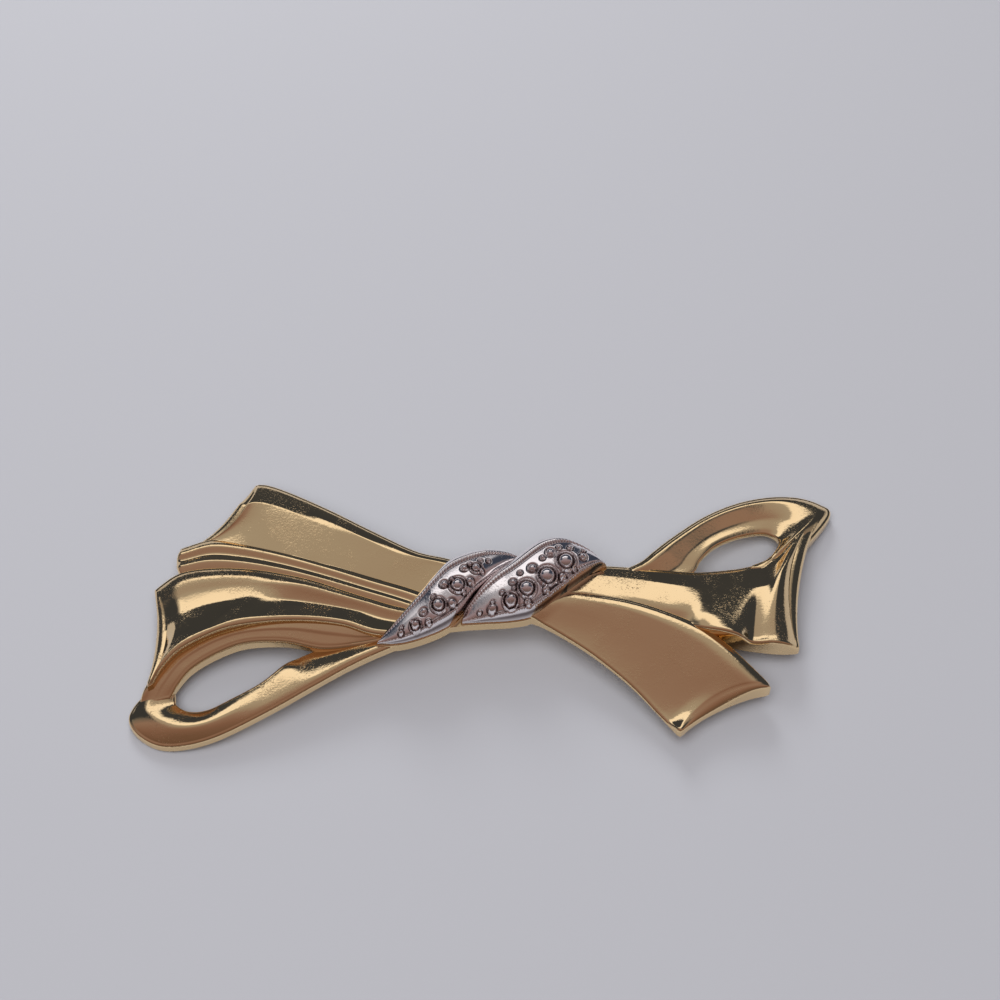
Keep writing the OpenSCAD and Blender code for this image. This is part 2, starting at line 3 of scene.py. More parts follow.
import bmesh
import bpy
import numpy as np
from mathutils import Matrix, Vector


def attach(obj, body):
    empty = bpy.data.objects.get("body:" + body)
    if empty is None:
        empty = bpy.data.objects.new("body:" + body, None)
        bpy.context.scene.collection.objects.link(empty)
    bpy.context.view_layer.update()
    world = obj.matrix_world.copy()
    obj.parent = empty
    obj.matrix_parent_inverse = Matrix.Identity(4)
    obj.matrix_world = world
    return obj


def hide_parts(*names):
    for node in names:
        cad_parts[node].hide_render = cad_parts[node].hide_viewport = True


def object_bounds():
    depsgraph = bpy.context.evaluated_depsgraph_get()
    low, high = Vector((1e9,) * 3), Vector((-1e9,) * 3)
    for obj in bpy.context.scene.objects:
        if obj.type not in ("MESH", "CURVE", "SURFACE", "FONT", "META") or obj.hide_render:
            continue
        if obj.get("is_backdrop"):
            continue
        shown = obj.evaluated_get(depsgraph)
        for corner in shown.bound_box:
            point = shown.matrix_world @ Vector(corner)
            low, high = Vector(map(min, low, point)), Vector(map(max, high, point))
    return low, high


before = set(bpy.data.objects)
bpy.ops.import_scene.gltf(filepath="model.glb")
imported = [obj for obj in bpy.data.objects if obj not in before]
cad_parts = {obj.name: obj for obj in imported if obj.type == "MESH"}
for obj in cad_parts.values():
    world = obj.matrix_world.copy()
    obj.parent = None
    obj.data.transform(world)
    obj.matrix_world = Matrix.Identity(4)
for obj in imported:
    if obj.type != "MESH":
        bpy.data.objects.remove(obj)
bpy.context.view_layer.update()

# The gold bow
# One casting in a gold-plated alloy: two open loops, two tails, a pair of pressed pleats and
# the gold seat under the knot, with a hollow back. It was polished on a wheel until the faces
# mirrored the room, and the plating keeps a fine haze and a few rubs.
# The brooch's lengths are in mm until a mesh is made, where MM turns them into metres.
MM = 0.001
TINY = 1e-6
ARCH_H, ARCH_REACH, ARCH_WIDTH = 3.0, 35.0, 20.0


def arch(x, y):
    """Height of the casting's arched underside over the table."""
    return ARCH_H * (1 - (x / ARCH_REACH) ** 2 - (y / ARCH_WIDTH) ** 2)


def through(keys, rows, at):
    """Smooth curve through rows of values given at keys."""
    keys, rows = np.asarray(keys, float), np.asarray(rows, float)
    at = np.clip(np.atleast_1d(at), keys[0], keys[-1])
    slopes = np.empty_like(rows)
    slopes[0] = (rows[1] - rows[0]) / (keys[1] - keys[0])
    slopes[-1] = (rows[-1] - rows[-2]) / (keys[-1] - keys[-2])
    slopes[1:-1] = (rows[2:] - rows[:-2]) / (keys[2:] - keys[:-2])[:, None]
    i = np.clip(np.searchsorted(keys, at, side="right") - 1, 0, len(keys) - 2)
    w = (keys[i + 1] - keys[i])[:, None]
    s = (at - keys[i])[:, None] / w
    s2, s3 = s * s, s * s * s
    return (
        rows[i] * (2 * s3 - 3 * s2 + 1)
        + slopes[i] * w * (s3 - 2 * s2 + s)
        + rows[i + 1] * (3 * s2 - 2 * s3)
        + slopes[i + 1] * w * (s3 - s2)
    )


def unit(rows):
    """Rows scaled to length one."""
    return rows / np.maximum(TINY, np.linalg.norm(rows, axis=1))[:, None]


def sections(rails, reach, rise, shares):
    """Far point, near point and inward bend of a ribbon at shares along it."""
    table = np.asarray(rails, float) / 100
    rows = through(np.arange(len(table)), table, shares * (len(table) - 1))
    far = rows[:, 0:2] * [reach, rise]
    near = rows[:, 2:4] * [reach, rise]
    across = unit(near - far)
    side = np.stack([-across[:, 1], across[:, 0]], 1)
    return far, near, side * rows[:, 4:5] * rise


LEAST_KEPT = 0.05


def places(far, near, bend, t, inset=0.0):
    """Places in plan at shares t across each section, drawn in from both edges by inset."""
    d = near - far
    keep = np.maximum(LEAST_KEPT, 1 - 2 * inset / np.linalg.norm(d, axis=1))[:, None]
    q = 0.5 + (t[None, :] - 0.5) * keep
    xy = far[:, None] + d[:, None] * q[..., None] + bend[:, None] * (4 * q * (1 - q))[..., None]
    return xy, q


LEAN_STEPS = 400


def leaned(r, u, q, width):
    """Height over the underside at shares u along and q across, summed from the leans across."""
    rows = np.asarray(r["leans"], float)
    at = through(rows[:, 0], rows[:, 1:], u * 100)
    fine = np.linspace(0, 1, LEAN_STEPS + 1)
    out = np.empty_like(q)
    for k in range(len(u)):
        steep = np.tan(np.radians(np.interp(fine * 100, r["across"], at[k, 1:])))
        run = np.concatenate([[0], np.cumsum((steep[1:] + steep[:-1]) / 2)]) / LEAN_STEPS * width[k]
        out[k] = at[k, 0] + np.interp(q[k], fine, run)
    start, drop = r["curl"]
    late = np.clip((u - start) / max(TINY, 1 - start), 0, 1)
    return out - drop * (late ** 2)[:, None]


def ribbon_grid(r, u, t, inset=0.0):
    """A ribbon's face as plan, underside and height over it, at shares u along and t across."""
    far, near, bend = sections(r["rails"], r["reach"], r["rise"], u)
    xy, q = places(far, near, bend, t, inset)
    return xy, arch(xy[..., 0], xy[..., 1]), leaned(r, u, q, np.linalg.norm(near - far, axis=1))


def raised(xy, z):
    """Grid of points from its plan and its heights."""
    return np.concatenate([xy, z[..., None]], 2)


def grid_parts(n, m):
    """Numbers of the points round the rim of an n by m grid, and of each cell's corners."""
    index = np.arange(n * m).reshape(n, m)
    rim = np.concatenate([index[:, 0], index[-1, 1:], index[-2::-1, -1], index[0, -2:0:-1]])
    corners = [index[:-1, :-1], index[1:, :-1], index[1:, 1:], index[:-1, 1:]]
    return rim, np.stack(corners, -1).reshape(-1, 4)


def strip(p, q):
    """Faces between two closed runs of points."""
    return np.stack([p, q, np.roll(q, -1), np.roll(p, -1)], 1)


WALL_LEAST, FOOT_DRAFT = 0.05, 0.02


def walled(top, foot_z, side, outs, downs, rings=6):
    """Closed mesh under a grid of points, with a rounded wall down to foot_z."""
    rim, cells = grid_parts(*top.shape[:2])
    points = top.reshape(-1, 3)
    plan = points[rim, :2]
    along = unit(unit(plan - np.roll(plan, 1, 0)) + unit(np.roll(plan, -1, 0) - plan))
    out = np.stack([along[:, 1], -along[:, 0]], 1) * side
    outs, downs = np.broadcast_to(outs, len(rim)), np.broadcast_to(downs, len(rim))
    parts = [points]
    for k in range(1, rings + 1):
        turn = math.pi / 2 * k / rings
        ring = np.empty((len(rim), 3))
        ring[:, :2] = plan + out * (outs * math.sin(turn))[:, None]
        ring[:, 2] = np.maximum(foot_z + WALL_LEAST, points[rim, 2] - downs * (1 - math.cos(turn)))
        parts.append(ring)
    foot = parts[-1].copy()
    foot[:, :2] += out * FOOT_DRAFT
    foot[:, 2] = foot_z
    parts.append(foot)
    sole = points.copy()
    sole[:, 2] = foot_z
    parts.append(sole)
    sole_first = len(points) + (rings + 1) * len(rim)
    bands = [len(points) + k * len(rim) + np.arange(len(rim)) for k in range(rings + 1)]
    bands = [rim, *bands, sole_first + rim]
    faces = np.concatenate([cells, cells[:, ::-1] + sole_first, *map(strip, bands[:-1], bands[1:])])
    return np.concatenate(parts), faces[:, ::-1] if side > 0 else faces


def placed(name, data):
    """Object with this mesh, lamp or camera, put in the scene."""
    obj = bpy.data.objects.new(name, data)
    bpy.context.scene.collection.objects.link(obj)
    return obj


def mesh_object(name, points, faces):
    """Closed mesh of four-cornered faces, in metres, turned so that they look out."""
    a, b, c, d = (points[faces[:, k]] for k in range(4))
    if np.einsum("ij,ij->", a, np.cross(b, c) + np.cross(c, d)) < 0:
        faces = faces[:, ::-1]
    mesh = bpy.data.meshes.new(name)
    mesh.from_pydata((points * MM).tolist(), [], faces.tolist())
    mesh.validate()
    return placed(name, mesh)


def carved(obj, other, how):
    """obj united with other, or cut by it; other is used up."""
    step = obj.modifiers.new("join", "BOOLEAN")
    step.operation, step.solver, step.object = how, "MANIFOLD", other
    seen = obj.evaluated_get(bpy.context.evaluated_depsgraph_get())
    mesh = bpy.data.meshes.new_from_object(seen)
    obj.modifiers.clear()
    old = obj.data
    obj.data = mesh
    bpy.data.meshes.remove(old)
    used = other.data
    bpy.data.objects.remove(other)
    bpy.data.meshes.remove(used)


# Rails are sections: far edge x, far edge y, near edge x, near edge y and bend, in hundredths of
# the ribbon's reach and rise. Leans are share along, height of the far edge in mm, then the
# sheet's lean in degrees at each share across. Flare is how far the open end's wall spreads,
# and curl where that end starts to turn down, and by how much.
LEFT_TAIL = dict(reach=-25.2, rise=12, flare=1, curl=(0.97, 0.12), rails=[
    [3, 17.5, 14.5, -6, 0],
    [12.5, 28, 25, 3.5, 0],
    [24.5, 35, 38.5, 14, 0],
    [39.5, 53, 54, 26, 0],
    [54, 72.5, 67.5, 36.5, 0],
    [67.5, 89.5, 81, 45, 3],
    [75, 97, 92, 50, 8],
    [79, 98, 99, 47, 11.5]],
    across=[0, 3, 6, 13, 14.5, 20, 22, 30, 31.5, 50, 96, 100], leans=[
    [0, 0.55, 30, 14, 10, 2, -2, -3, -3, -3, -3, -3, -3, -3],
    [22, 0.8, 42, 26, 16, 12, -4, -6, -6, -5, -5, -5, -4, -4],
    [45, 0.95, 42, 28, 20, 18, 16, 14, -4, -7, -7, -6, -5, -5],
    [70, 1, 42, 26, 18, 18, 17, 17, 16, 12, -6, -8, -6, -6],
    [88, 1.1, 42, 26, 18, 18, 17, 17, 17, 16, -10, -12, -9, -8],
    [100, 1.2, 42, 24, 17, 17, 17, 17, 17, 17, -12, -15, -12, -10]])
PLEAT = dict(reach=-25.2, rise=12, flare=0.5, curl=(1, 0), rails=[
    [14.5, -6, 17.5, -20, 0],
    [25, 4, 28.5, -11, 0],
    [38.5, 14, 42, -1, 0],
    [54, 26.5, 58.5, 11, 0],
    [67.5, 37, 71, 18.5, 0],
    [81, 46, 83, 23.5, 0],
    [92, 50.5, 93.5, 25, 0],
    [102, 45, 101, 24, 0]],
    across=[0, 11, 17, 22, 26, 38, 45, 51, 63, 69, 74, 100], leans=[
    [0, 0.7, 10, 12, 6, -2, -12, -12, 2, 10, 10, 2, -12, -16],
    [22, 0.85, 28, 24, 6, -4, -20, -20, 2, 20, 20, 4, -16, -22],
    [70, 1.05, 30, 26, 6, -4, -24, -24, 2, 22, 22, 4, -18, -26],
    [100, 1, 30, 26, 6, -4, -24, -24, 2, 22, 22, 4, -18, -26]])
LEFT_LOOP = dict(reach=-28.7, rise=12, flare=1, curl=(0.88, 0.55), rails=[
    [11.5, -18, 15.5, -27, 0],
    [26, -10, 31, -29.5, 0],
    [34, -4, 41.5, -22, 0],
    [42, 3, 53, -19, 0],
    [51, 11.5, 64.5, -20, 0],
    [61, 18.5, 74.5, -25, 0],
    [70, 23, 82, -32, 2],
    [79.5, 25, 88, -41, 4],
    [88.5, 23, 92, -52, 6],
    [96, 13.5, 95, -63, 9]],
    across=[0, 4, 9, 12, 17, 21, 26, 40, 46, 60, 92, 97, 100], leans=[
    [0, 0.8, 14, 12, 8, 0, -14, -18, -20, -14, 8, 20, 20, 4, -10],
    [12, 1, 30, 26, 22, 10, -12, -18, -20, -12, 12, 21, 20, 4, -10],
    [26, 1.15, 34, 28, 24, 14, -10, -18, -22, -14, 14, 21, 20, 6, -10],
    [44, 1.25, 34, 28, 22, 14, -10, -18, -20, -12, 14, 19, 18, 6, -10],
    [54, 1.25, 34, 24, 16, 12, 0, -14, -8, 6, 13, 16, 16, 4, -10],
    [64, 1.25, 34, 24, 12, 2, -7, -10, 0, 4, 12, 14, 14, 4, -10],
    [80, 1.25, 34, 24, 12, 0, -9, -10, 0, 4, 12, 14, 13, 4, -10],
    [100, 1.3, 34, 20, 10, 0, -8, -6, 0, 4, 9, 11, 10, 4, -10]])
LEFT_INNER = dict(reach=-28.7, rise=12, flare=0, curl=(1, 0), rails=[
    [21, -24, 24, -29, 0],
    [31, -27, 37, -34.5, 0],
    [41.5, -19.5, 47, -36, 0],
    [55, -17, 57.5, -31, 0],
    [69, -19.5, 68.5, -31, 0],
    [79, -25.5, 76.5, -37, 0],
    [89, -39.5, 84, -47.5, 0],
    [95.5, -61, 88, -58.5, 0],
    [97.5, -73, 90, -67, 0]],
    across=[0, 6, 10, 14, 20, 48, 53, 58, 64, 88, 94, 100], leans=[
    [0, 0.95, 6, 2, -12, -14, -8, -8, -14, -14, -8, -8, -14, -20],
    [30, 1.35, 14, 5, -26, -26, -8, -8, -26, -30, -12, -10, -20, -30],
    [62, 1.5, 16, 5, -28, -28, -8, -8, -30, -34, -14, -10, -22, -34],
    [86, 1.3, 14, 4, -20, -20, -8, -6, -22, -24, -8, -8, -16, -24],
    [100, 0.66, 26, 24, 22, 20, 16, -2, -6, -8, -10, -14, -16, -18]])
LEFT_BAND = dict(reach=-28.7, rise=12, flare=0, curl=(1, 0), rails=[
    [94, -61, 89.5, -59.5, 0],
    [99, -73.5, 89, -66, 0],
    [100, -82.5, 88.5, -72.5, 0],
    [97, -92.5, 86, -78, 0],
    [91, -100, 83, -80.5, 0],
    [83, -100, 79, -80, 0],
    [74, -94, 74, -75.5, 0],
    [61, -79, 63.5, -61, 0],
    [49.5, -63.5, 56, -46, 0],
    [41, -52, 48, -37, 0],
    [33, -42.5, 39, -32, 0],
    [22, -31, 24, -25, 0]],
    across=[0, 6, 20, 36, 44, 54, 76, 84, 92, 100], leans=[
    [0, 0.84, 10, 8, 4, 2, 0, -4, -6, -6, -8, -10],
    [12, 0.62, 30, 24, 14, 6, -4, -12, -18, -20, -22, -24],
    [30, 0.72, 34, 28, 22, 16, 0, -16, -22, -22, -22, -24],
    [46, 0.75, 34, 30, 26, 14, -6, -16, -22, -22, -22, -22],
    [56, 0.75, 34, 30, 22, 8, -4, -12, -18, -20, -20, -22],
    [62, 0.75, 34, 18, 0, -7, -9, -10, -12, -16, -18, -20],
    [71, 0.75, 34, 8, -6, -9, -10, -10, -11, -14, -16, -20],
    [76, 0.75, 32, 4, -14, -16, -17, -18, -18, -18, -18, -18],
    [88, 0.85, 26, 2, -16, -18, -18, -18, -18, -18, -18, -18],
    [100, 0.85, 20, 2, -8, -10, -12, -12, -12, -12, -12, -12]])
RIGHT_LOOP = dict(reach=28.7, rise=10.9, flare=1, curl=(0.8, 0.85), rails=[
    [24.5, 26, 17, -0.5, 0],
    [33.5, 27, 26, 2, 0],
    [46, 25.5, 39.5, -6.5, 0],
    [58.5, 24, 51.5, -17, 0],
    [68, 27, 61, -27.5, 0],
    [76.5, 32, 70, -34, 0],
    [84, 40, 77, -36, -3],
    [90, 60, 82.5, -36.5, -8],
    [97.5, 86, 87, -35.5, -14]],
    across=[0, 4, 8, 33, 37, 60, 80, 88, 94, 97, 100], leans=[
    [0, 0.6, 24, 16, 12, 10, 4, 2, 0, 0, 0, 0, 0],
    [20, 0.6, 40, 26, 16, 14, 6, 5, 4, 3, 2, 0, -6],
    [35, 0.6, 40, 26, 16, 15, 6, 5, 2, -8, -12, -14, -14],
    [42, 0.6, 40, 26, 15, 15, 11, 6, -4, -14, -14, -14, -14],
    [48, 0.6, 38, 25, 14, 14, 14, 13, 9, 0, -6, -10, -12],
    [56, 0.65, 34, 22, 12, 12, 14, 15, 15, 14, 13, 12, 8],
    [62, 0.75, 22, 14, 13, 13, 12, 10, 10, 12, 15, 16, 16],
    [69, 0.95, 8, 4, 12, 10, 2, -1, -2, -2, 0, 10, 16],
    [80, 1.4, 4, 2, 11, 8, 1, -1, -3, -3, 0, 12, 16],
    [100, 1.9, 4, 2, 6, 4, -2, -4, -6, -6, -4, 10, 14]])
RIGHT_BAND = dict(reach=28.7, rise=10.9, flare=0, curl=(1, 0), rails=[
    [31.5, 14.5, 37.5, 8, 0],
    [43, 30, 50.5, 16.5, 0],
    [48, 41.5, 58, 28.5, 0],
    [53, 53.5, 60.5, 40, 0],
    [63, 75, 65.5, 54, 0],
    [73, 90, 72.5, 64, 0],
    [83, 98.5, 79.5, 69, 0],
    [91.5, 100, 83.5, 66.5, 0],
    [98, 94.5, 85.5, 59, 0],
    [100, 86.5, 84, 47, 0],
    [92, 56, 81, 38, 0],
    [83.5, 31, 76, 31.5, 0]],
    across=[0, 6, 12, 16, 20, 26, 60, 72, 88, 100], leans=[
    [0, 0.6, 24, 14, 2, -10, -22, -24, -22, -4, -2, -12],
    [20, 0.8, 40, 26, 4, -8, -22, -28, -26, -4, -2, -12],
    [45, 1, 42, 28, 6, -4, -20, -26, -26, -8, -4, -16],
    [60, 1, 42, 30, 12, 2, -4, -10, -22, -14, -14, -24],
    [72, 1, 38, 28, 16, 8, 4, 0, -10, -10, -14, -20],
    [84, 0.9, 24, 18, 14, 12, 10, 8, 2, -4, -10, -16],
    [100, 0.9, 10, 8, 6, 4, 3, 0, -2, -4, -8, -10]])
RIGHT_TAIL = dict(reach=22.3, rise=11.4, flare=1, curl=(0.98, 0.05), rails=[
    [20, 5, 9.5, -13.5, 0],
    [31.5, 0.5, 20, -20.5, 0],
    [50.5, -6, 34.5, -38, 0],
    [66.5, -16.5, 46, -55.5, 0],
    [78, -27.5, 54, -70, 0],
    [85.5, -39, 60, -83, -2],
    [93, -53.5, 64, -91.5, -5],
    [100, -67.5, 68, -100, -10]],
    across=[0, 3, 6, 12, 16, 20, 50, 80, 96, 100], leans=[
    [0, 0.8, 10, 8, 5, 2, -2, -6, -8, -6, -6, -6],
    [8, 0.98, 24, 16, 7, 6, 6, 5, 3, 1, -4, -6],
    [15, 1.12, 30, 20, 6, 4, 2, -8, -14, -10, -8, -6],
    [32, 1.35, 34, 22, 6, 3, -5, -15, -16, -11, -8, -6],
    [50, 1.45, 34, 22, 6, 2, -8, -16, -15, -11, -8, -4],
    [85, 1.5, 34, 22, 8, -2, -10, -17, -16, -10, -2, 10],
    [100, 1.45, 34, 22, 8, -2, -10, -14, -12, -2, 14, 22]])
RIBBONS = [LEFT_TAIL, PLEAT, LEFT_LOOP, LEFT_INNER, LEFT_BAND, RIGHT_LOOP, RIGHT_BAND, RIGHT_TAIL]
LOW_Z = -1.0
RIM_OUT, RIM_DOWN, END_OUT, END_DOWN = 0.26, 0.32, 0.9, 0.7


def ribbon_body(r, along=120, across=76):
    """One ribbon of the casting as a closed body down to the table's level."""
    t = np.linspace(0, 1, across)
    xy, low, height = ribbon_grid(r, np.linspace(0, 1, along), t)
    open_end = np.zeros(2 * (along - 1) + 2 * (across - 1))
    open_end[along - 1:along - 1 + across] = r["flare"] * np.sin(math.pi * t)
    outs = RIM_OUT + (END_OUT - RIM_OUT) * open_end
    downs = RIM_DOWN + (END_DOWN - RIM_DOWN) * open_end
    return walled(raised(xy, low + height), LOW_Z, 1 if r["reach"] < 0 else -1, outs, downs)


# Knot seats: far edge x, far edge y, near edge x, near edge y, in hundredths of the knot's
# reach and rise. The gold seat is a low crown that the white leaf lies on.
KNOT_REACH, KNOT_RISE = 9.5, 4.2
SEAT_EDGE_H, SEAT_CROWN_H, SEAT_LIP, LEAF_GAP = 0.92, 1.48, 0.15, 0.1
LEFT_LEAF = [
    [-92.5, -99, -95, -108],
    [-78, -57, -71.5, -103],
    [-60.5, -6, -49.5, -86.5],
    [-38, 60, -34.5, -68],
    [-20, 83, -24, -43],
    [-1, 90, -12, -5],
    [15, 89, 2, 30],
    [26, 82, 16, 60]]
RIGHT_LEAF = [
    [-22, -52, -23, -64],
    [-16, -29, -4, -61.5],
    [-0.5, 16, 19, -58],
    [19.5, 57, 37, -47],
    [37, 94, 57, -11],
    [49, 111, 71.5, 18],
    [64, 117, 85.5, 46],
    [83, 101, 95.5, 66],
    [98, 76, 100, 70]]


def leaf_sections(rows, shares):
    """Far and near points of a leaf, the arch under it and its crown, at shares along."""
    table = np.asarray(rows, float) / 100
    at = through(np.arange(len(table)), table, shares * (len(table) - 1))
    far, near = at[:, 0:2] * [KNOT_REACH, KNOT_RISE], at[:, 2:4] * [KNOT_REACH, KNOT_RISE]
    mid = (far + near) / 2
    crown = SEAT_CROWN_H * np.minimum(1, np.linalg.norm(near - far, axis=1) / KNOT_RISE)
    return far, near, arch(mid[:, 0], mid[:, 1]), crown


def seat_grid(rows, inset=0.0, lift=0.0, along=90, across=30):
    """Points on a seat, drawn in by inset and raised by lift."""
    far, near, base, crown = leaf_sections(rows, np.linspace(0, 1, along))
    xy, q = places(far, near, np.zeros_like(far), np.linspace(0, 1, across), inset)
    q = np.clip(q, 0, 1)
    return raised(xy, base[:, None] + SEAT_EDGE_H + crown[:, None] * 4 * q * (1 - q) + lift)


def closed_grid(top, under):
    """Closed mesh between two grids of the same size."""
    rim, cells = grid_parts(*top.shape[:2])
    points = np.concatenate([top.reshape(-1, 3), under.reshape(-1, 3)])
    below = len(points) // 2
    return points, np.concatenate([cells, cells[:, ::-1] + below, strip(rim, rim + below)])


def hull_object(name, points):
    """Convex body round a set of points."""
    shape = bmesh.new()
    for p in points:
        shape.verts.new(np.asarray(p) * MM)
    bmesh.ops.convex_hull(shape, input=shape.verts)
    loose = [v for v in shape.verts if not v.link_faces]
    bmesh.ops.delete(shape, geom=loose, context="VERTS")
    mesh = bpy.data.meshes.new(name)
    shape.to_mesh(mesh)
    shape.free()
    return placed(name, mesh)


def ring_of(x, y, z, radius, sides=40):
    """Points round a level circle."""
    turn = np.arange(sides) * 2 * math.pi / sides
    return [(x + radius * math.cos(a), y + radius * math.sin(a), z) for a in turn]


bow = mesh_object("gold_bow_visual", *ribbon_body(RIBBONS[0]))
for r in RIBBONS[1:]:
    carved(bow, mesh_object("ribbon", *ribbon_body(r)), "UNION")
for rows in (LEFT_LEAF, RIGHT_LEAF):
    seat = walled(seat_grid(rows), LOW_Z, -1, SEAT_LIP, SEAT_LIP)
    carved(bow, mesh_object("seat", *seat), "UNION")

# The core joins the two seats along the middle, and the bridge closes them at their near ends.
CORE_FIRST, CORE_H, CORE_SIDES = 3, 0.7, 12
for i in range(len(RIGHT_LEAF) - CORE_FIRST - 2):
    j = i + CORE_FIRST
    corners = []
    for rows, k in ((LEFT_LEAF, j), (LEFT_LEAF, j + 1), (RIGHT_LEAF, i), (RIGHT_LEAF, i + 1)):
        far, near, base, _ = leaf_sections(rows, np.array([k / (len(rows) - 1)]))
        x, y = (far[0] + near[0]) / 2
        for z in (base[0], base[0] + CORE_H):
            corners += ring_of(x, y, z, SEAT_LIP, CORE_SIDES)
    carved(bow, hull_object("core", corners), "UNION")
BRIDGE_PLAN = [(-3.3, -2.86), (-2.75, -2.2), (-2.1, -1.9), (-1.2, -2.62), (-2.2, -2.72)]
BRIDGE_R, BRIDGE_SINK, BRIDGE_DROP = SEAT_LIP * 0.9, 0.2, 0.12
bridge = []
for x, y in BRIDGE_PLAN:
    low = arch(x, y)
    for z in (low - BRIDGE_SINK, low + SEAT_EDGE_H - BRIDGE_DROP):
        bridge += ring_of(x, y, z, BRIDGE_R, CORE_SIDES)
carved(bow, hull_object("bridge", bridge), "UNION")

# The back: the arched underside, the hollows, and the posts that carry the pin fitting.
BACK_X, BACK_Y, BACK_NX, BACK_NY, PIT_Z = 36, 15, 97, 41, -4.0
back_x, back_y = np.linspace(-BACK_X, BACK_X, BACK_NX), np.linspace(BACK_Y, -BACK_Y, BACK_NY)
plan = np.stack(np.meshgrid(back_x, back_y, indexing="ij"), 2)
roof = arch(plan[..., 0], plan[..., 1])
back = closed_grid(raised(plan, roof), raised(plan, np.full_like(roof, PIT_Z)))
carved(bow, mesh_object("back", *back), "DIFFERENCE")
WALL, RIM_W, LOW_SKIN, HOLLOW_SINK, HOLLOW_END = 0.88, 1.0, -0.4, 0.6, 0.86
HOLLOW_ALONG, HOLLOW_ACROSS = 60, 24
PIN_HALF, POST_D, POST_STEP = 15.0, 4.0, 0.1
for r, start in ((LEFT_TAIL, 0.25), (LEFT_LOOP, 0.2), (RIGHT_LOOP, 0.2), (RIGHT_TAIL, 0.2)):
    u, t = np.linspace(start, HOLLOW_END, HOLLOW_ALONG), np.linspace(0, 1, HOLLOW_ACROSS)
    xy, low, height = ribbon_grid(r, u, t, RIM_W)
    skin = raised(xy, low + np.maximum(LOW_SKIN, height - WALL))
    hollow = mesh_object("hollow", *closed_grid(skin, raised(xy, low - HOLLOW_SINK)))
    for x in (-PIN_HALF, PIN_HALF):
        post = ring_of(x, 0, 0, POST_D / 2) + ring_of(x, 0, 2 * ARCH_H, POST_D / 2)
        carved(hollow, hull_object("post", post), "DIFFERENCE")
    carved(bow, hollow, "DIFFERENCE")

# Room for each leaf is cut out of the gold over its seat, with sides that flare a little.
LEAF_SINK, SKY_FLARE, SKY_H = 0.3, 0.03, 3
for rows in (LEFT_LEAF, RIGHT_LEAF):
    floor = seat_grid(rows, -LEAF_GAP / 2, LEAF_GAP * LEAF_SINK)
    sky = seat_grid(rows, -LEAF_GAP / 2 - SKY_FLARE, SKY_H)
    carved(bow, mesh_object("room", *closed_grid(sky, floor)), "DIFFERENCE")

# The posts stand out of the hollows, each with a bevelled foot for the fitting.
POST_R, POST_Z = (POST_D - POST_STEP) / 2, arch(PIN_HALF + POST_D / 2, 0) - POST_STEP
BEVEL_W, BEVEL_H = 0.15, 0.1
for x in (-PIN_HALF, PIN_HALF):
    post = ring_of(x, 0, POST_Z, POST_R - BEVEL_W)
    for z in (POST_Z + BEVEL_H, ARCH_H):
        post += ring_of(x, 0, z, POST_R)
    carved(bow, hull_object("post", post), "UNION")
WELD, GOLD_CREASE = 0.0003, 38


def finish_shape(obj, crease_deg):
    """Welded mesh without folded faces, smooth but for creases where pieces of metal meet."""
    shape = bmesh.new()
    shape.from_mesh(obj.data)
    bmesh.ops.remove_doubles(shape, verts=shape.verts, dist=WELD * MM)
    bmesh.ops.dissolve_degenerate(shape, dist=WELD * MM, edges=shape.edges)
    bmesh.ops.triangulate(shape, faces=shape.faces)
    same = {}
    for face in shape.faces:
        same.setdefault(frozenset(v.index for v in face.verts), []).append(face)
    folds = [face for faces in same.values() if len(faces) > 1 for face in faces]
    bmesh.ops.delete(shape, geom=folds, context="FACES")
    bare = [edge for edge in shape.edges if not edge.link_faces]
    bmesh.ops.delete(shape, geom=bare, context="EDGES")
    loose = [vert for vert in shape.verts if not vert.link_faces]
    bmesh.ops.delete(shape, geom=loose, context="VERTS")
    shape.to_mesh(obj.data)
    shape.free()
    obj.data.shade_smooth()
    obj.data.set_sharp_from_angle(angle=math.radians(crease_deg))


def wire(tree, kind, **settings):
    """A shader node with its settings and plain socket values."""
    node = tree.nodes.new(kind)
    for key, value in settings.items():
        if key.startswith("in_"):
            node.inputs[key[3:].replace("_", " ")].default_value = value
        else:
            setattr(node, key, value)
    return node


def worked(tree, operation, a, b):
    """What a Math node makes of two sockets."""
    node = wire(tree, "ShaderNodeMath", operation=operation)
    tree.links.new(a, node.inputs[0])
    tree.links.new(b, node.inputs[1])
    return node.outputs[0]


def spread_of(tree, socket, low, high, to_low=0.0, to_high=1.0):
    """A Map Range node that turns a socket's values from low to high into others."""
    node = wire(tree, "ShaderNodeMapRange", in_From_Min=low, in_From_Max=high)
    node.inputs["To Min"].default_value = to_low
    node.inputs["To Max"].default_value = to_high
    tree.links.new(socket, node.inputs["Value"])
    return node


def group_tree(name, inputs, outputs):
    """An empty shader node group with named sockets."""
    tree = bpy.data.node_groups.new(name, "ShaderNodeTree")
    for label, kind, value in inputs:
        socket = tree.interface.new_socket(label, in_out="INPUT", socket_type=kind)
        socket.default_value = value
    for label, kind in outputs:
        tree.interface.new_socket(label, in_out="OUTPUT", socket_type=kind)
    return tree, tree.nodes.new("NodeGroupInput"), tree.nodes.new("NodeGroupOutput")


